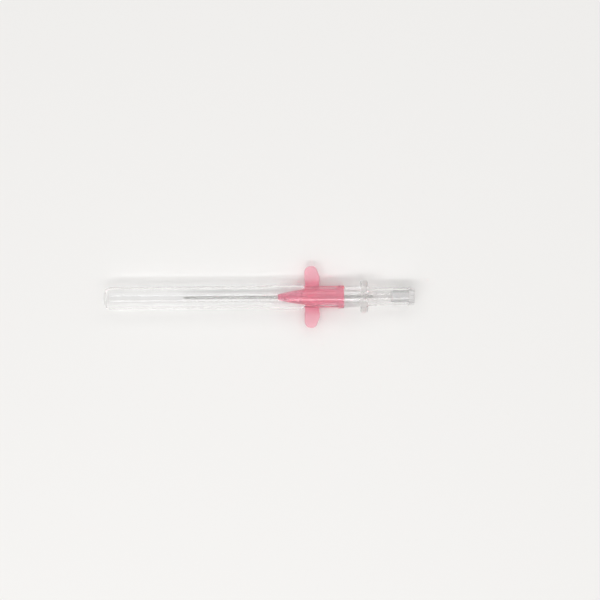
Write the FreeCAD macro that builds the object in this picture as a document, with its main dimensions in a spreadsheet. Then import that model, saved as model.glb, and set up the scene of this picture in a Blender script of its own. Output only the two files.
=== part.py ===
"""Winged intravenous cannula, lying on its side as it rests.

Every piece is turned about one common line, the X axis of its own body, with the sharp end towards -X.
The frame's origin is the middle of the flange's lower flat, so the common line runs above it.
All lengths are in millimetres and all angles in degrees.
"""
import FreeCAD, Part
import math
import os
import re
import Sketcher

SIZES = {
    # clear needle hub: nose, neck, flange, boss and barrel
    "flange_thickness": 2.4,
    "flange_diameter": 10.7,
    "flange_flats": 8.1,
    "flange_edge": 0.3,
    "neck_length": 5.4,
    "neck_diameter": 6.5,
    "neck_edge": 0.3,
    "rib_width": 0.4,
    "rib_spacing": 1.6,
    "nose_length": 8.0,
    "nose_edge": 0.25,
    "boss_length": 3.3,
    "boss_diameter": 6.3,
    "boss_slope": 0.5,
    "barrel_length": 10.3,
    "barrel_diameter": 5.66,
    "barrel_bore": 4.2,
    "core_diameter": 2.4,
    "core_wall": 2.9,
    "core_slope": 1.6,
    "well_diameter": 1.7,
    "well_depth": 1.9,
    "bead_height": 0.35,
    # coloured catheter hub
    "hub_length": 22.0,
    "hub_gap": 0.1,
    "hub_nose_diameter": 2.0,
    "hub_nose_edge": 0.25,
    "hub_body_length": 10.4,
    "hub_body_diameter": 5.7,
    "hub_ogive_swell": 0.3,
    "collar_length": 2.1,
    "collar_diameter": 6.7,
    "collar_slope": 0.35,
    "collar_edge": 0.25,
    "lug_length": 1.9,
    "lug_diameter": 7.8,
    "lug_height": 3.4,
    "socket_diameter": 4.3,
    "socket_depth": 9.0,
    "luer_taper": 0.03,
    "luer_gap": 0.03,
    "funnel_diameter": 3.2,
    "funnel_slope": 0.8,
    # wings of the catheter hub
    "wing_reach": 13.1,
    "wing_chord": 5.15,
    "wing_span": 20.6,
    "wing_drop": 0.9,
    "wing_thickness": 0.9,
    "wing_edge": 0.2,
    "wing_front_round": 2.1,
    "wing_tip_flat": 0.5,
    "wing_rear_round": 1.6,
    "wing_slant": 22.0,
    "pad_start": 5.2,
    "web_thickness": 0.4,
    "web_inset": 0.2,
    "ridge_width": 0.4,
    "ridge_height": 0.15,
    "ridge_pitch": 0.95,
    "ridge_inset": 0.65,
    # catheter and the metal sleeve that wedges it into its hub
    "catheter_reach": 29.3,
    "catheter_grip": 6.9,
    "catheter_diameter": 1.1,
    "catheter_wall": 0.15,
    "catheter_tip_wall": 0.04,
    "catheter_taper": 2.2,
    "flare_rise": 0.19,
    "flare_cone": 0.7,
    "sleeve_length": 1.8,
    "sleeve_gap": 0.05,
    "sleeve_rim_diameter": 1.9,
    "sleeve_rim_thickness": 0.4,
    "sleeve_mouth_diameter": 1.5,
    "press_gap": 0.01,
    # hollow needle
    "needle_gap": 0.03,
    "needle_bore": 0.5,
    "needle_lead": 2.4,
    "needle_tail": 3.0,
    "bevel_angle": 18.0,
    "facet_angle": 21.0,
    "facet_turn": 45.0,
    # vent plug and its filter
    "plug_gap": 0.03,
    "plug_stem_length": 5.6,
    "plug_head_length": 1.9,
    "plug_head_step": 0.04,
    "plug_edge": 0.3,
    "plug_bore": 2.2,
    "plug_flutes": 12,
    "flute_diameter": 0.6,
    "filter_diameter": 3.0,
    "filter_thickness": 0.9,
    "filter_recess": 0.25,
    # clear needle cover
    "cover_gap": 0.1,
    "cover_wall": 0.6,
    "cover_fit": 0.1,
    "cover_bell_margin": 1.3,
    "cover_shoulder": 4.0,
    "cover_tube_bore": 6.1,
    "cover_spare": 26.0,
    "cover_tip_round": 1.0,
    "cover_fit_rib": 0.05,
    "slot_height": 3.8,
    "slot_end_radius": 2.2,
    "slot_margin": 1.0,
}

# Stations along the common line, measured from the middle of the flange
FLANGE_FRONT = "(-flange_thickness / 2)"
FLANGE_REAR = "(flange_thickness / 2)"
NECK_FRONT = f"({FLANGE_FRONT} - neck_length)"
NOSE_FRONT = f"({NECK_FRONT} - nose_length)"
BOSS_REAR = f"({FLANGE_REAR} + boss_length)"
BARREL_REAR = f"({BOSS_REAR} + barrel_length)"
HUB_MOUTH = f"({NECK_FRONT} - hub_gap)"
HUB_NOSE = f"({HUB_MOUTH} - hub_length)"
CATHETER_TIP = f"({HUB_NOSE} - catheter_reach)"
CATHETER_REAR = f"({HUB_NOSE} + catheter_grip)"
NEEDLE_TIP = f"({CATHETER_TIP} - needle_lead)"
COVER_REAR = f"({FLANGE_FRONT} - cover_gap)"

# Radii that two pieces share
AXIS_HEIGHT = "(flange_flats / 2)"
CATHETER_RADIUS = "(catheter_diameter / 2)"
CATHETER_BORE = f"({CATHETER_RADIUS} - catheter_wall)"
NEEDLE_RADIUS = f"({CATHETER_BORE} - needle_gap)"
COVER_BORE = "(collar_diameter / 2 + cover_fit)"
RIB_RADIUS = f"({COVER_BORE} - cover_fit_rib)"

# Two lengths closer than this are the same length
TINY = 1e-4

# The ogive of the catheter hub is turned as this many short cones
OGIVE_CONES = 4

doc = FreeCAD.newDocument("intravenous_cannula")
sheet = doc.addObject("Spreadsheet::Sheet", "Sizes")
for row, (alias, size) in enumerate(SIZES.items(), start=1):
    sheet.set(f"A{row}", alias.replace("_", " "))
    sheet.set(f"B{row}", str(size))
    sheet.setAlias(f"B{row}", alias)
doc.recompute()


def bound(text):
    """Gives an expression in plain size names its sheet references."""
    return re.sub(r"[a-z_]+", lambda word: "Sizes." + word[0] if word[0] in SIZES else word[0], text)


def value(text):
    """The present value of an expression in plain size names."""
    return float(sheet.evalExpression(bound(text)))


def new_body(label, station):
    """A body whose own X axis lies on the common line, with its zero at the given station."""
    body = doc.addObject("PartDesign::Body", label)
    body.Label = label
    body.setExpression("Placement.Base.x", bound(station))
    body.setExpression("Placement.Base.z", bound(AXIS_HEIGHT))
    return body


def new_sketch(body, name, role, lift=None):
    """A sketch on one of the body's own origin planes, raised along the plane's normal by lift."""
    sketch = body.newObject("Sketcher::SketchObject", name)
    plane = next(feature for feature in body.Origin.OriginFeatures if feature.Role == role)
    sketch.AttachmentSupport = [(plane, "")]
    sketch.MapMode = "FlatFace"
    if lift:
        sketch.setExpression("AttachmentOffset.Base.z", bound(lift))
    return sketch


def arc_between(start, end, radius, turn):
    """The shorter arc from start to end. It turns left for a turn of 1 and right for -1."""
    chord = end - start
    half = chord.Length / 2
    radius = max(radius, half)
    across = FreeCAD.Vector(-chord.y, chord.x, 0).normalize() * turn
    centre = (start + end) / 2 + across * math.sqrt(radius**2 - half**2)
    first, last = (start, end) if turn > 0 else (end, start)
    angles = [math.atan2(point.y - centre.y, point.x - centre.x) for point in (first, last)]
    circle = Part.Circle(centre, FreeCAD.Vector(0, 0, 1), radius)
    return Part.ArcOfCircle(circle, *angles)


def bind_distance(sketch, kind, geometry, end, text):
    """Ties one coordinate of a point to an expression."""
    axis = -2 if kind == "DistanceX" else -1
    if text == "0":
        sketch.addConstraint(Sketcher.Constraint("PointOnObject", geometry, end, axis))
        return
    index = sketch.addConstraint(Sketcher.Constraint(kind, -1, 1, geometry, end, value(text)))
    sketch.setExpression(f"Constraints[{index}]", bound(text))


def draw_outline(sketch, corners, arcs=None):
    """A closed outline through the corners, each tied to expressions in both directions.

    arcs gives the sides that are round: the number of the side's first corner, with its radius and turn.
    """
    arcs = arcs or {}
    points = [FreeCAD.Vector(value(x), value(y), 0) for x, y in corners]
    sides = []
    for number, start in enumerate(points):
        end = points[(number + 1) % len(points)]
        if number in arcs:
            radius, turn = arcs[number]
            geometry = sketch.addGeometry(arc_between(start, end, value(radius), turn))
            sides.append((geometry, 1, 2) if turn > 0 else (geometry, 2, 1))
        else:
            geometry = sketch.addGeometry(Part.LineSegment(start, end))
            sides.append((geometry, 1, 2))
    for number, (geometry, _, finish) in enumerate(sides):
        following, start, _ = sides[(number + 1) % len(sides)]
        sketch.addConstraint(Sketcher.Constraint("Coincident", geometry, finish, following, start))
    for (x, y), (geometry, start, _) in zip(corners, sides):
        bind_distance(sketch, "DistanceX", geometry, start, x)
        bind_distance(sketch, "DistanceY", geometry, start, y)
    for number, (radius, _) in arcs.items():
        geometry = sides[number][0]
        index = sketch.addConstraint(Sketcher.Constraint("Radius", geometry, value(radius)))
        sketch.setExpression(f"Constraints[{index}]", bound(radius))


def turn_profile(body, name, corners, cut=False):
    """Turns an outline about the body's X axis, as material or as a hollow."""
    sketch = new_sketch(body, name + "_profile", "XY_Plane")
    draw_outline(sketch, corners)
    feature = body.newObject("PartDesign::Groove" if cut else "PartDesign::Revolution", name)
    feature.Profile = sketch
    feature.ReferenceAxis = (sketch, ["H_Axis"])
    feature.Angle = 360
    return feature


def extrude(body, kind, name, sketch, length, side="Symmetric", back=False):
    """A Pad or a Pocket of a sketch, with its length tied to an expression."""
    feature = body.newObject("PartDesign::" + kind, name)
    feature.Profile = sketch
    feature.SideType = side
    feature.setExpression("Length", bound(length))
    feature.Reversed = back
    return feature


def ease_edges(body, name, feature, rule, width):
    """Chamfers the edges of a feature that meet a rule."""
    doc.recompute()
    chosen = [f"Edge{number}" for number, edge in enumerate(feature.Shape.Edges, start=1) if rule(edge)]
    chamfer = body.newObject("PartDesign::Chamfer", name)
    chamfer.Base = (feature, chosen)
    chamfer.setExpression("Size", bound(width))
    return chamfer


def make_hub_shell(body):
    """The outside of the catheter hub: nose, ogive, plain body and collar."""
    nose = "(hub_nose_diameter / 2)"
    nose_rear = "(-hub_length + hub_nose_edge)"
    ogive = []
    for number in range(OGIVE_CONES + 1):
        share = number / OGIVE_CONES
        station = f"{nose_rear} - {share} * ({nose_rear} + hub_body_length)"
        straight = f"{nose} + {share} * (hub_body_diameter / 2 - {nose})"
        ogive.append((station, f"{straight} + {4 * share * (1 - share)} * hub_ogive_swell"))
    corners = [
        ("-hub_length", "0"),
        ("-hub_length", f"{nose} - hub_nose_edge"),
        *ogive,
        ("-collar_length - collar_slope", "hub_body_diameter / 2"),
        ("-collar_length", "collar_diameter / 2"),
        ("-collar_edge", "collar_diameter / 2"),
        ("0", "collar_diameter / 2 - collar_edge"),
        ("0", "0"),
    ]
    turn_profile(body, "hub_shell", corners)


def make_wings(body):
    """Two wings on a thin web that lets them fold, each a rounded pad with grip ridges on its upper face."""
    web = new_sketch(body, "wing_web_plan", "XY_Plane", "-wing_drop")
    front = "-wing_reach + web_inset"
    rear = "-wing_reach + wing_chord - web_inset"
    reach = "(pad_start + wing_edge * 2)"
    draw_outline(web, [(front, f"-{reach}"), (rear, f"-{reach}"), (rear, reach), (front, reach)])
    extrude(body, "Pad", "wing_web", web, "web_thickness")

    plan = new_sketch(body, "wing_plan", "XY_Plane", "-wing_drop")
    slant_top = "(wing_span / 2 - wing_rear_round * (1 - sin(wing_slant)))"
    slant_inset = "(wing_chord - wing_front_round - wing_tip_flat - wing_rear_round * cos(wing_slant))"
    slant_foot = f"({slant_top} - {slant_inset} / tan(wing_slant))"
    for side in (1, -1):
        tip = f"{side} * wing_span / 2"
        corners = [
            ("-wing_reach", f"{side} * pad_start"),
            ("-wing_reach", f"{tip} - {side} * wing_front_round"),
            ("-wing_reach + wing_front_round", tip),
            ("-wing_reach + wing_front_round + wing_tip_flat", tip),
            (f"-wing_reach + wing_chord - {slant_inset}", f"{side} * {slant_top}"),
            ("-wing_reach + wing_chord", f"{side} * {slant_foot}"),
            ("-wing_reach + wing_chord", f"{side} * pad_start"),
        ]
        draw_outline(plan, corners, {1: ("wing_front_round", -side), 3: ("wing_rear_round", -side)})
    pads = extrude(body, "Pad", "wing_pads", plan, "wing_thickness")

    def on_pad_face(edge):
        heights = [vertex.Z + value("wing_drop") for vertex in edge.Vertexes]
        level = max(heights) - min(heights) < TINY
        at_face = abs(abs(heights[0]) - value("wing_thickness / 2")) < TINY
        return level and at_face and min(abs(vertex.Y) for vertex in edge.Vertexes) > value("pad_start") - TINY

    ease_edges(body, "wing_edges", pads, on_pad_face, "wing_edge")

    ridges = new_sketch(body, "wing_ridge_plan", "XY_Plane", "-wing_drop")
    count = int(value(f"({slant_top} - pad_start - ridge_inset) / ridge_pitch"))
    start = "-wing_reach + ridge_inset"
    stop = f"-wing_reach + wing_chord - {slant_inset} - ridge_inset / 2"
    for side in (1, -1):
        for number in range(count):
            low = f"{side} * (pad_start + ridge_inset + {number} * ridge_pitch)"
            high = f"{low} + {side} * ridge_width"
            draw_outline(ridges, [(start, low), (stop, low), (stop, high), (start, high)])
    extrude(body, "Pad", "wing_ridges", ridges, "wing_thickness / 2 + ridge_height", side="One side")


def make_luer_lugs(body):
    """Two lugs on the collar that turn into the thread of a luer lock fitting."""
    section = new_sketch(body, "lug_section", "YZ_Plane")
    high = "(lug_height / 2)"
    wide = f"sqrt((lug_diameter / 2)^2 - {high}^2)"
    corners = [(f"-{wide}", f"-{high}"), (wide, f"-{high}"), (wide, high), (f"-{wide}", high)]
    draw_outline(section, corners, {1: ("lug_diameter / 2", 1), 3: ("lug_diameter / 2", 1)})
    extrude(body, "Pad", "luer_lugs", section, "lug_length", side="One side", back=True)


def make_hub_bore(body):
    """The way through the hub: luer socket, funnel, seat of the sleeve and hole for the catheter."""
    hole = f"({CATHETER_RADIUS} + press_gap)"
    flared = f"({hole} + flare_rise)"
    seat = "(sleeve_rim_diameter / 2 + press_gap)"
    tube_rear = "-hub_length + catheter_grip"
    rim_rear = f"{tube_rear} + sleeve_rim_thickness + 2 * press_gap"
    flare_rear = f"{tube_rear} - sleeve_length"
    corners = [
        ("0", "0"),
        ("0", "socket_diameter / 2"),
        ("-socket_depth", "socket_diameter / 2 - luer_taper * socket_depth"),
        ("-socket_depth", "funnel_diameter / 2"),
        (f"{rim_rear} + funnel_slope", "funnel_diameter / 2"),
        (rim_rear, seat),
        (tube_rear, seat),
        (tube_rear, flared),
        (flare_rear, flared),
        (f"{flare_rear} - flare_cone", hole),
        ("-hub_length", hole),
        ("-hub_length", "0"),
    ]
    turn_profile(body, "hub_bore", corners, cut=True)


def make_winged_hub():
    body = new_body("winged_hub", HUB_MOUTH)
    make_hub_shell(body)
    make_wings(body)
    make_luer_lugs(body)
    make_hub_bore(body)
    return body


def make_catheter_tube():
    """Thin soft tube, drawn down at its tip and flared at its rear end over the sleeve."""
    body = new_body("catheter_tube", CATHETER_TIP)
    length = "(catheter_reach + catheter_grip)"
    flare_rear = f"{length} - sleeve_length"
    flare_front = f"{flare_rear} - flare_cone"
    corners = [
        ("0", CATHETER_BORE),
        ("0", f"{CATHETER_BORE} + catheter_tip_wall"),
        ("catheter_taper", CATHETER_RADIUS),
        (flare_front, CATHETER_RADIUS),
        (flare_rear, f"{CATHETER_RADIUS} + flare_rise"),
        (length, f"{CATHETER_RADIUS} + flare_rise"),
        (length, f"{CATHETER_BORE} + flare_rise"),
        (flare_rear, f"{CATHETER_BORE} + flare_rise"),
        (flare_front, CATHETER_BORE),
    ]
    turn_profile(body, "tube_wall", corners)
    return body


def make_catheter_sleeve():
    """Metal sleeve with a wide mouth that holds the flared end of the catheter in its hub."""
    body = new_body("catheter_sleeve", f"{CATHETER_REAR} - sleeve_length + press_gap")
    bore = f"({NEEDLE_RADIUS} + sleeve_gap)"
    outside = f"({CATHETER_BORE} + flare_rise - press_gap)"
    rim_rear = "sleeve_length + sleeve_rim_thickness"
    corners = [
        ("0", bore),
        ("0", outside),
        ("sleeve_length", outside),
        ("sleeve_length", "sleeve_rim_diameter / 2"),
        (rim_rear, "sleeve_rim_diameter / 2"),
        (rim_rear, "sleeve_mouth_diameter / 2"),
        ("sleeve_length", bore),
    ]
    turn_profile(body, "sleeve_wall", corners)
    return body


def make_introducer_needle():
    """Steel tube with a long bevel on its upper side and two lancet facets beside the point."""
    body = new_body("introducer_needle", NEEDLE_TIP)
    length = f"needle_tail - {NEEDLE_TIP}"
    corners = [
        ("0", "needle_bore / 2"),
        ("0", NEEDLE_RADIUS),
        (length, NEEDLE_RADIUS),
        (length, "needle_bore / 2"),
    ]
    turn_profile(body, "needle_wall", corners)
    cuts = [("bevel", 0, "bevel_angle", NEEDLE_RADIUS)]
    for name, side in (("left_facet", 1), ("right_facet", -1)):
        cuts.append((name, side, "facet_angle", f"{NEEDLE_RADIUS} * cos(facet_turn)"))
    needle_width = f"(2 * {NEEDLE_RADIUS})"
    for name, side, angle, depth in cuts:
        sketch = new_sketch(body, name + "_side", "XZ_Plane")
        if side:
            turn = FreeCAD.Rotation(FreeCAD.Vector(1, 0, 0), side * value("facet_turn"))
            sketch.AttachmentOffset = FreeCAD.Placement(FreeCAD.Vector(), turn)
        top = f"{depth} + {needle_width}"
        far = f"({depth} + {top}) / tan({angle})"
        front = f"-{needle_width}"
        draw_outline(sketch, [("0", f"-{depth}"), (far, top), (front, top), (front, f"-{depth}")])
        extrude(body, "Pocket", name, sketch, f"4 * {needle_width}")
    return body


def make_needle_adhesive():
    """Bead of adhesive that fills the well in the nose and climbs a little way up the needle."""
    body = new_body("needle_adhesive", NOSE_FRONT)
    inner = f"({NEEDLE_RADIUS} + press_gap)"
    outer = "(well_diameter / 2 - press_gap)"
    corners = [
        ("well_depth - press_gap", inner),
        ("-bead_height", inner),
        ("0", outer),
        ("well_depth - press_gap", outer),
    ]
    turn_profile(body, "bead", corners)
    return body


def make_needle_hub_outside(body):
    """Luer nose, neck, flange, boss and barrel in one turned outline."""
    root = "(socket_diameter / 2 + luer_taper * hub_gap - luer_gap)"
    tip = f"({root} - luer_taper * nose_length)"
    neck = "(neck_diameter / 2)"
    flange = "(flange_diameter / 2)"
    corners = [
        (NOSE_FRONT, "0"),
        (NOSE_FRONT, f"{tip} - nose_edge"),
        (f"{NOSE_FRONT} + nose_edge", tip),
        (NECK_FRONT, root),
        (NECK_FRONT, f"{neck} - neck_edge"),
        (f"{NECK_FRONT} + neck_edge", neck),
        (FLANGE_FRONT, neck),
        (FLANGE_FRONT, f"{flange} - flange_edge"),
        (f"{FLANGE_FRONT} + flange_edge", flange),
        (f"{FLANGE_REAR} - flange_edge", flange),
        (FLANGE_REAR, f"{flange} - flange_edge"),
        (FLANGE_REAR, "boss_diameter / 2"),
        (f"{BOSS_REAR} - boss_slope", "boss_diameter / 2"),
        (BOSS_REAR, "barrel_diameter / 2"),
        (BARREL_REAR, "barrel_diameter / 2"),
        (BARREL_REAR, "0"),
    ]
    turn_profile(body, "needle_hub_outside", corners)


def make_neck_ribs(body):
    """Low ribs along the neck that grip the cover, drawn straight up and down as the mould opens."""
    section = new_sketch(body, "rib_section", "YZ_Plane", NECK_FRONT)
    for place in (-1, 0, 1):
        left = f"{place} * rib_spacing - rib_width / 2"
        right = f"{place} * rib_spacing + rib_width / 2"
        top = f"sqrt({RIB_RADIUS}^2 - ({abs(place)} * rib_spacing + rib_width / 2)^2)"
        foot = "neck_diameter / 4"
        for side in (1, -1):
            low = f"{side} * {foot}"
            high = f"{side} * {top}"
            draw_outline(section, [(left, low), (right, low), (right, high), (left, high)])
    extrude(body, "Pad", "neck_ribs", section, "neck_length", side="One side")


def make_flange_flats(body):
    """Flats above and below the flange. The lower one carries the part when it lies down."""
    section = new_sketch(body, "flat_section", "YZ_Plane")
    wide = "flange_diameter"
    for side in (1, -1):
        near = f"{side} * flange_flats / 2"
        far = f"{side} * flange_diameter"
        draw_outline(section, [(f"-{wide}", near), (wide, near), (wide, far), (f"-{wide}", far)])
    extrude(body, "Pocket", "flange_flats", section, "flange_thickness")


def make_needle_hub_inside(body):
    """The flash chamber's hollow, the hole that holds the needle and the well for its adhesive."""
    core_front = f"({NOSE_FRONT} + well_depth + core_wall)"
    hole = f"({NEEDLE_RADIUS} + press_gap)"
    corners = [
        (BARREL_REAR, "0"),
        (BARREL_REAR, "barrel_bore / 2"),
        (FLANGE_REAR, "barrel_bore / 2"),
        (f"{FLANGE_REAR} - core_slope", "core_diameter / 2"),
        (core_front, "core_diameter / 2"),
        (core_front, hole),
        (f"{NOSE_FRONT} + well_depth", hole),
        (f"{NOSE_FRONT} + well_depth", "well_diameter / 2"),
        (NOSE_FRONT, "well_diameter / 2"),
        (NOSE_FRONT, "0"),
    ]
    turn_profile(body, "chamber_hollow", corners, cut=True)


def make_flash_chamber():
    body = new_body("flash_chamber", "0")
    make_needle_hub_outside(body)
    make_neck_ribs(body)
    make_flange_flats(body)
    make_needle_hub_inside(body)
    return body


def make_vent_plug():
    """Hollow stopper in the end of the flash chamber, with a fluted head to pull it by."""
    body = new_body("vent_plug", f"{BARREL_REAR} + press_gap")
    stem = "(barrel_bore / 2 - plug_gap)"
    head = "(barrel_diameter / 2 - plug_head_step)"
    corners = [
        ("-plug_stem_length", "plug_bore / 2"),
        ("-plug_stem_length", f"{stem} - plug_edge"),
        ("-plug_stem_length + plug_edge", stem),
        ("0", stem),
        ("0", head),
        ("plug_head_length - plug_edge", head),
        ("plug_head_length", f"{head} - plug_edge"),
        ("plug_head_length", "plug_bore / 2"),
    ]
    turn_profile(body, "plug_wall", corners)

    seat_rear = "-plug_stem_length + filter_recess + filter_thickness + press_gap"
    seat = "filter_diameter / 2"
    seat_corners = [("-plug_stem_length", "0"), (seat_rear, "0"), (seat_rear, seat), ("-plug_stem_length", seat)]
    turn_profile(body, "filter_seat", seat_corners, cut=True)

    rim = new_sketch(body, "flute_section", "YZ_Plane")
    centre = FreeCAD.Vector(value(head), 0, 0)
    radius = value("flute_diameter / 2")
    circle = rim.addGeometry(Part.Circle(centre, FreeCAD.Vector(0, 0, 1), radius))
    bind_distance(rim, "DistanceX", circle, 3, head)
    bind_distance(rim, "DistanceY", circle, 3, "0")
    index = rim.addConstraint(Sketcher.Constraint("Radius", circle, radius))
    rim.setExpression(f"Constraints[{index}]", bound("flute_diameter / 2"))
    flute = extrude(body, "Pocket", "flute", rim, "plug_head_length", side="One side", back=True)
    ring = body.newObject("PartDesign::PolarPattern", "flutes")
    ring.Originals = [flute]
    ring.Axis = (rim, ["N_Axis"])
    ring.Angle = 360
    ring.setExpression("Occurrences", bound("plug_flutes"))
    body.Tip = ring
    return body


def make_vent_filter():
    """Porous disc that lets air out of the chamber and keeps fluid in."""
    body = new_body("vent_filter", f"{BARREL_REAR} + press_gap - plug_stem_length + filter_recess")
    radius = "filter_diameter / 2 - press_gap"
    corners = [("0", "0"), ("0", radius), ("filter_thickness", radius), ("filter_thickness", "0")]
    turn_profile(body, "disc", corners)
    return body


def make_needle_cover():
    """Clear cap over the needle: a bell round the hub, a long tube and a closed end with a broken edge."""
    body = new_body("needle_cover", COVER_REAR)
    bell_front = f"({HUB_NOSE} - {COVER_REAR} - cover_bell_margin)"
    tube_rear = f"({bell_front} - cover_shoulder)"
    tip = f"({NEEDLE_TIP} - {COVER_REAR} - cover_spare)"

    def half_outline(closed_end, tip_round, wall):
        middle = f"{tip_round} * (1 - cos(45))"
        return [
            (closed_end, "0"),
            (closed_end, "cover_tube_bore / 2 - cover_tip_round"),
            (f"{closed_end} + {middle}", f"cover_tube_bore / 2 + {wall} - {middle}"),
            (f"{closed_end} + {tip_round}", f"cover_tube_bore / 2 + {wall}"),
            (tube_rear, f"cover_tube_bore / 2 + {wall}"),
            (bell_front, f"{COVER_BORE} + {wall}"),
            ("0", f"{COVER_BORE} + {wall}"),
            ("0", "0"),
        ]

    outside = half_outline(tip, "(cover_tip_round + cover_wall)", "cover_wall")
    inside = half_outline(f"{tip} + cover_wall", "cover_tip_round", "0")
    turn_profile(body, "cover_outside", outside)
    turn_profile(body, "cover_inside", inside, cut=True)

    slot = new_sketch(body, "slot_side", "XZ_Plane")
    half = "(slot_height / 2)"
    slot_end = f"({HUB_MOUTH} - {COVER_REAR} - wing_reach - slot_margin)"
    arc_start = f"{slot_end} + slot_end_radius - sqrt(slot_end_radius^2 - {half}^2)"
    corners = [
        ("cover_wall", f"-{half}"),
        ("cover_wall", half),
        (arc_start, half),
        (arc_start, f"-{half}"),
    ]
    draw_outline(slot, corners, {2: ("slot_end_radius", 1)})
    extrude(body, "Pocket", "wing_slots", slot, f"4 * ({COVER_BORE} + cover_wall)")
    return body


pieces = [
    make_winged_hub(),
    make_catheter_tube(),
    make_catheter_sleeve(),
    make_introducer_needle(),
    make_needle_adhesive(),
    make_flash_chamber(),
    make_vent_plug(),
    make_vent_filter(),
    make_needle_cover(),
]
doc.recompute()

failed = [item.Name for item in doc.Objects if "Invalid" in item.State or "Error" in item.State]
if failed:
    raise RuntimeError(f"These features failed: {failed}")
for piece in pieces:
    if piece.Shape.isNull() or not piece.Shape.isValid() or len(piece.Shape.Solids) != 1:
        raise RuntimeError(f"{piece.Label} isn't one sound solid")

os.makedirs("parts", exist_ok=True)
for piece in pieces:
    piece.Shape.exportStep(os.path.join("parts", piece.Label + ".step"))
    box = piece.Shape.BoundBox
    print(f"{piece.Label}: {piece.Shape.Volume:.2f} mm3, x {box.XMin:.2f} to {box.XMax:.2f}")
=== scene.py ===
"""Looks of a winged intravenous cannula: its materials, the pale floor, the soft light and the camera.

All lengths are in metres, in the frame of the part: X along the needle, Y along the wings, Z up.
"""
import math

import bmesh
import bpy
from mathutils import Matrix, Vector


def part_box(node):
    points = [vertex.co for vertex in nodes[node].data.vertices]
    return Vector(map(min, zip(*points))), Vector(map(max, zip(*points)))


MM = 0.001

# The camera looks straight down. The picture is square, and this much of the object's plane crosses it.
PICTURE_WIDTH = 200 * MM
PICTURE_CENTRE = (-21.3 * MM, -1.0 * MM)
CAMERA_HEIGHT = 460 * MM
CAMERA_ROLL = math.radians(-0.4)
CAMERA_CLIP_START = 10 * MM
SENSOR_WIDTH_MM = 36.0

FLOOR_SIZE = 40.0
FLOOR_CELLS = 8
FLOOR_DROP = 0.01 * MM
FLOOR_COLOUR = (0.82, 0.81, 0.795, 1)

# Beyond the object the floor fades into the background over these distances, so no edge of it shows.
FADE_START = 0.16
FADE_END = 0.6
BACKGROUND_TONE = 0.86

# The world's light grows from the horizon up to this height on a sphere of radius 1.
SKY_HEIGHT = 0.6
HORIZON_LIGHT = 0.12
SKY_LIGHT = 0.8

# Each lamp's place, its length and width, and its power in watts.
LAMPS = {
    "key_lamp": ((-0.15, -0.35, 0.6), 0.9, 0.14, 2.0),
    "fill_lamp": ((0.1, 0.45, 0.5), 0.9, 0.2, 0.7),
}

# Light that is guided along a clear wall needs many bounces before it comes out.
CLEAR_BOUNCES = 120
DIFFUSE_BOUNCES = 8

# Most of a noise lies between these two values.
NOISE_LOW = 0.3
NOISE_HIGH = 0.7

# The hub's colour is painted paler between these distances from its middle, which lie in the wings:
# painted lightness that stands for light shining through the thin plastic.
WING_ROOT = 3.6 * MM
WING_PAINTED_PALE = 6.5 * MM

# Sockets of the Mix node, for colours and for numbers.
MIX_SHARE = 0
COLOUR_A, COLOUR_B, COLOUR_RESULT = 6, 7, 2
NUMBER_A, NUMBER_B, NUMBER_RESULT = 2, 3, 0

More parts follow.
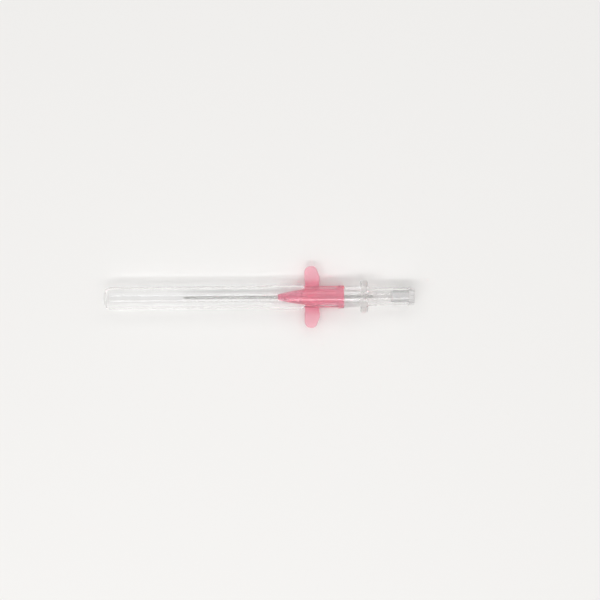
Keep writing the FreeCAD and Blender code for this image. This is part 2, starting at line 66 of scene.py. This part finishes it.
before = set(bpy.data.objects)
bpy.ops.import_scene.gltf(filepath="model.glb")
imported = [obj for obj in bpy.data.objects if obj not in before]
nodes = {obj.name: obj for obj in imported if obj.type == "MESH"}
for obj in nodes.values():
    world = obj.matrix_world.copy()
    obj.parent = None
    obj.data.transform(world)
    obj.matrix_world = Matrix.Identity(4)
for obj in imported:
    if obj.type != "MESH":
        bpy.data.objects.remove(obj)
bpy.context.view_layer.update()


class Surface:
    """One material: a Principled shader and the procedural nodes that feed it."""

    def __init__(self, name, colour, **values):
        self.material = bpy.data.materials.new(name)
        self.material.use_nodes = True
        self.tree = self.material.node_tree
        self.shader = self.tree.nodes["Principled BSDF"]
        self.output = self.tree.nodes["Material Output"]
        self.colour = colour
        self.shader.inputs["Base Color"].default_value = colour
        for socket, number in values.items():
            self.shader.inputs[socket.replace("_", " ")].default_value = number
        self.place = self.tree.nodes.new("ShaderNodeTexCoord").outputs["Object"]

    def node(self, kind, **settings):
        made = self.tree.nodes.new("ShaderNode" + kind)
        for name, setting in settings.items():
            setattr(made, name, setting)
        return made

    def link(self, source, target):
        self.tree.links.new(source, target)

    def noise(self, size, stretch=(1, 1, 1), detail=3.0):
        """Noise whose blobs are about size across, drawn out by stretch along each axis."""
        mapping = self.node("Mapping")
        mapping.inputs["Scale"].default_value = [1 / (size * along) for along in stretch]
        texture = self.node("TexNoise")
        texture.inputs["Scale"].default_value = 1.0
        texture.inputs["Detail"].default_value = detail
        self.link(self.place, mapping.inputs["Vector"])
        self.link(mapping.outputs["Vector"], texture.inputs["Vector"])
        return texture.outputs["Fac"]

    def spread(self, source, low, high):
        """Maps the usual reach of a noise to low and high."""
        reach = self.node("MapRange")
        reach.inputs["From Min"].default_value = NOISE_LOW
        reach.inputs["From Max"].default_value = NOISE_HIGH
        reach.inputs["To Min"].default_value = low
        reach.inputs["To Max"].default_value = high
        self.link(source, reach.inputs["Value"])
        return reach.outputs["Result"]

    def off_middle(self, near, far):
        """Rises from 0 to 1 between two distances from the upright plane along the object."""
        split = self.node("SeparateXYZ")
        side = self.node("Math", operation="ABSOLUTE")
        rise = self.node("MapRange", interpolation_type="SMOOTHSTEP")
        rise.inputs["From Min"].default_value = near
        rise.inputs["From Max"].default_value = far
        self.link(self.place, split.inputs["Vector"])
        self.link(split.outputs["Y"], side.inputs[0])
        self.link(side.outputs["Value"], rise.inputs["Value"])
        return rise.outputs["Result"]

    def vary_colour(self, source, other):
        """Blends the colour, as varied so far, towards another where the source is high."""
        base = self.shader.inputs["Base Color"]
        mix = self.node("Mix", data_type="RGBA")
        mix.inputs[COLOUR_A].default_value = self.colour
        mix.inputs[COLOUR_B].default_value = other
        if base.is_linked:
            self.link(base.links[0].from_socket, mix.inputs[COLOUR_A])
        self.link(source, mix.inputs[MIX_SHARE])
        self.link(mix.outputs[COLOUR_RESULT], base)

    def vary_roughness(self, source, low, high):
        """Makes the surface rougher where the source is high."""
        self.link(self.spread(source, low, high), self.shader.inputs["Roughness"])

    def bump(self, source, height):
        """Raises the surface by height where the source is 1."""
        bump = self.node("Bump")
        bump.inputs["Distance"].default_value = height
        bump.inputs["Strength"].default_value = 1.0
        self.link(source, bump.inputs["Height"])
        self.link(bump.outputs["Normal"], self.shader.inputs["Normal"])


def pink_hub_plastic():
    """Tinted translucent plastic: cloudy inside, with painted paleness in the thin wings for the light
    shining through them, and a fine satin grain.
    """
    surface = Surface("hub_plastic", (0.955, 0.39, 0.51, 1), Transmission_Weight=0.72, IOR=1.45)
    cloud = surface.noise(1.1 * MM, (6, 1, 1))
    surface.vary_colour(surface.spread(cloud, 0, 1), (0.975, 0.5, 0.6, 1))
    # Painted lightness: the wings are coloured paler to stand for light shining through the thin
    # plastic.
    surface.vary_colour(surface.off_middle(WING_ROOT, WING_PAINTED_PALE), (0.978, 0.63, 0.7, 1))
    surface.vary_roughness(surface.noise(0.8 * MM), 0.1, 0.2)
    surface.bump(surface.noise(0.5 * MM, detail=2), 0.005 * MM)
    return surface


def catheter_plastic():
    """Thin milky polymer, drawn out along its length."""
    surface = Surface("catheter_polymer", (0.94, 0.935, 0.925, 1), Transmission_Weight=0.8, IOR=1.36)
    cloud = surface.noise(0.5 * MM, (8, 1, 1))
    surface.vary_colour(surface.spread(cloud, 0, 1), (0.97, 0.97, 0.96, 1))
    surface.vary_roughness(surface.noise(0.25 * MM, (6, 1, 1)), 0.16, 0.28)
    surface.bump(surface.noise(0.15 * MM, (20, 1, 1), detail=1), 0.001 * MM)
    return surface


def drawn_steel(name, colour):
    """Bright steel with fine drawing lines along its length."""
    surface = Surface(name, colour, Metallic=1.0)
    lines = surface.noise(0.04 * MM, (80, 1, 1), detail=3)
    surface.vary_roughness(lines, 0.26, 0.42)
    lighter = [min(1.0, 1.12 * part) for part in colour]
    surface.vary_colour(surface.spread(surface.noise(0.4 * MM, (6, 1, 1)), 0, 1), lighter)
    surface.bump(lines, 0.0005 * MM)
    return surface


def clear_adhesive():
    """Cured adhesive, clear and faintly yellow."""
    surface = Surface("clear_adhesive", (0.96, 0.95, 0.88, 1), Transmission_Weight=0.95, IOR=1.5)
    surface.vary_roughness(surface.noise(0.4 * MM), 0.02, 0.1)
    surface.bump(surface.noise(0.5 * MM), 0.02 * MM)
    return surface


def chamber_plastic():
    """Clear hard plastic with faint flow lines from the mould."""
    surface = Surface("chamber_plastic", (0.975, 0.974, 0.974, 1), Transmission_Weight=1.0, IOR=1.45)
    flow = surface.noise(0.9 * MM, (8, 1, 1), detail=2)
    surface.vary_colour(surface.spread(flow, 0, 1), (0.94, 0.938, 0.938, 1))
    surface.vary_roughness(surface.noise(1.2 * MM, (3, 1, 1)), 0.02, 0.06)
    surface.bump(flow, 0.002 * MM)
    return surface


def plug_plastic():
    """Translucent whitish plastic with a dull skin."""
    surface = Surface("plug_plastic", (0.9, 0.9, 0.9, 1), Transmission_Weight=0.82, IOR=1.45)
    surface.vary_colour(surface.spread(surface.noise(0.9 * MM), 0, 1), (0.85, 0.845, 0.845, 1))
    surface.vary_roughness(surface.noise(0.5 * MM), 0.34, 0.46)
    surface.bump(surface.noise(0.6 * MM, detail=2), 0.002 * MM)
    return surface


def filter_membrane():
    """White pressed fibre, matt and open."""
    surface = Surface("filter_membrane", (0.90, 0.90, 0.89, 1), Roughness=0.9)
    pores = surface.noise(0.06 * MM, detail=6)
    surface.vary_colour(surface.spread(pores, 0, 1), (0.78, 0.78, 0.77, 1))
    surface.bump(pores, 0.03 * MM)
    return surface


def cover_plastic():
    """Very clear thin plastic with long faint ripples."""
    surface = Surface("cover_plastic", (1, 1, 1, 1), Transmission_Weight=1.0, IOR=1.33)
    ripple = surface.noise(4 * MM, (20, 1, 1), detail=0)
    surface.vary_colour(surface.spread(ripple, 0, 1), (0.99, 0.993, 0.997, 1))
    surface.vary_roughness(surface.noise(2 * MM, (6, 1, 1)), 0.02, 0.07)
    surface.bump(ripple, 0.001 * MM)
    return surface


def dress(node, surface):
    """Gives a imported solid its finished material."""
    mesh = nodes[node].data
    mesh.materials.clear()
    mesh.materials.append(surface.material)


dress("winged_hub", pink_hub_plastic())
dress("catheter_tube", catheter_plastic())
dress("catheter_sleeve", drawn_steel("sleeve_steel", (0.72, 0.72, 0.73, 1)))
dress("introducer_needle", drawn_steel("needle_steel", (0.41, 0.402, 0.392, 1)))
dress("needle_adhesive", clear_adhesive())
dress("flash_chamber", chamber_plastic())
dress("vent_plug", plug_plastic())
dress("vent_filter", filter_membrane())
dress("needle_cover", cover_plastic())


def fade_far_floor(surface):
    """Gives the far floor the background's tone where it is seen directly or through clear plastic."""
    distance = surface.node("VectorMath", operation="LENGTH")
    fade = surface.node("MapRange", interpolation_type="SMOOTHSTEP")
    path = surface.node("LightPath")
    seen = surface.node("Math", operation="MAXIMUM")
    share = surface.node("Math", operation="MULTIPLY")
    tone = surface.node("Emission")
    blend = surface.node("MixShader")
    fade.inputs["From Min"].default_value = FADE_START
    fade.inputs["From Max"].default_value = FADE_END
    tone.inputs["Strength"].default_value = BACKGROUND_TONE
    surface.link(surface.place, distance.inputs[0])
    surface.link(distance.outputs["Value"], fade.inputs["Value"])
    surface.link(path.outputs["Is Camera Ray"], seen.inputs[0])
    surface.link(path.outputs["Is Transmission Ray"], seen.inputs[1])
    surface.link(fade.outputs["Result"], share.inputs[0])
    surface.link(seen.outputs["Value"], share.inputs[1])
    surface.link(share.outputs["Value"], blend.inputs["Fac"])
    surface.link(surface.shader.outputs["BSDF"], blend.inputs[1])
    surface.link(tone.outputs["Emission"], blend.inputs[2])
    surface.link(blend.outputs["Shader"], surface.output.inputs["Surface"])


def make_floor():
    """A wide pale floor, which keeps the shadow."""
    mesh = bpy.data.meshes.new("floor")
    shape = bmesh.new()
    bmesh.ops.create_grid(shape, x_segments=FLOOR_CELLS, y_segments=FLOOR_CELLS, size=FLOOR_SIZE / 2)
    shape.to_mesh(mesh)
    shape.free()
    floor = bpy.data.objects.new("floor", mesh)
    floor.location = (PICTURE_CENTRE[0], PICTURE_CENTRE[1], -FLOOR_DROP)
    bpy.context.scene.collection.objects.link(floor)
    surface = Surface("floor_paper", FLOOR_COLOUR, Roughness=0.9)
    fade_far_floor(surface)
    mesh.materials.append(surface.material)


def make_world():
    """Even light from all round, a little dimmer near the floor so that clear edges read."""
    world = bpy.data.worlds.new("studio")
    world.use_nodes = True
    tree = world.node_tree
    background = tree.nodes["Background"]
    place = tree.nodes.new("ShaderNodeTexCoord")
    split = tree.nodes.new("ShaderNodeSeparateXYZ")
    ramp = tree.nodes.new("ShaderNodeMapRange")
    path = tree.nodes.new("ShaderNodeLightPath")
    seen = tree.nodes.new("ShaderNodeMix")
    ramp.inputs["From Min"].default_value = 0.0
    ramp.inputs["From Max"].default_value = SKY_HEIGHT
    ramp.inputs["To Min"].default_value = HORIZON_LIGHT
    ramp.inputs["To Max"].default_value = SKY_LIGHT
    background.inputs["Color"].default_value = (1, 1, 1, 1)
    tree.links.new(place.outputs["Generated"], split.inputs["Vector"])
    tree.links.new(split.outputs["Z"], ramp.inputs["Value"])
    tree.links.new(path.outputs["Is Camera Ray"], seen.inputs[MIX_SHARE])
    tree.links.new(ramp.outputs["Result"], seen.inputs[NUMBER_A])
    seen.inputs[NUMBER_B].default_value = BACKGROUND_TONE
    tree.links.new(seen.outputs[NUMBER_RESULT], background.inputs["Strength"])
    bpy.context.scene.world = world


def make_lamp(name, place, length, width, power):
    """A long soft box beside the camera, in line with the object, that faces it."""
    lamp = bpy.data.lights.new(name, "AREA")
    lamp.shape = "RECTANGLE"
    lamp.size = length
    lamp.size_y = width
    lamp.energy = power
    holder = bpy.data.objects.new(name, lamp)
    holder.location = place
    tilt = math.atan2(place[1] - PICTURE_CENTRE[1], place[2])
    holder.rotation_euler = (-tilt, 0, 0)
    bpy.context.scene.collection.objects.link(holder)


def make_camera():
    """A camera straight above, whose picture is PICTURE_WIDTH across at the top of the needle."""
    camera = bpy.data.cameras.new("camera")
    camera.sensor_width = SENSOR_WIDTH_MM
    needle_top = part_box("introducer_needle")[1].z
    camera.lens = SENSOR_WIDTH_MM * (CAMERA_HEIGHT - needle_top) / PICTURE_WIDTH
    camera.clip_start = CAMERA_CLIP_START
    holder = bpy.data.objects.new("camera", camera)
    holder.location = (PICTURE_CENTRE[0], PICTURE_CENTRE[1], CAMERA_HEIGHT)
    holder.rotation_euler = (0, 0, CAMERA_ROLL)
    bpy.context.scene.collection.objects.link(holder)
    bpy.context.scene.camera = holder


def trace_clear_walls():
    """Lets light pass all the clear walls on its way in and out again, with nothing cut short."""
    cycles = bpy.context.scene.cycles
    cycles.max_bounces = CLEAR_BOUNCES
    cycles.transmission_bounces = CLEAR_BOUNCES
    cycles.glossy_bounces = CLEAR_BOUNCES
    cycles.diffuse_bounces = DIFFUSE_BOUNCES
    cycles.sample_clamp_indirect = 0
    cycles.blur_glossy = 0


make_floor()
make_world()
for lamp_name, (place, length, width, power) in LAMPS.items():
    make_lamp(lamp_name, place, length, width, power)
make_camera()
trace_clear_walls()
bpy.context.scene.view_settings.view_transform = "Standard"
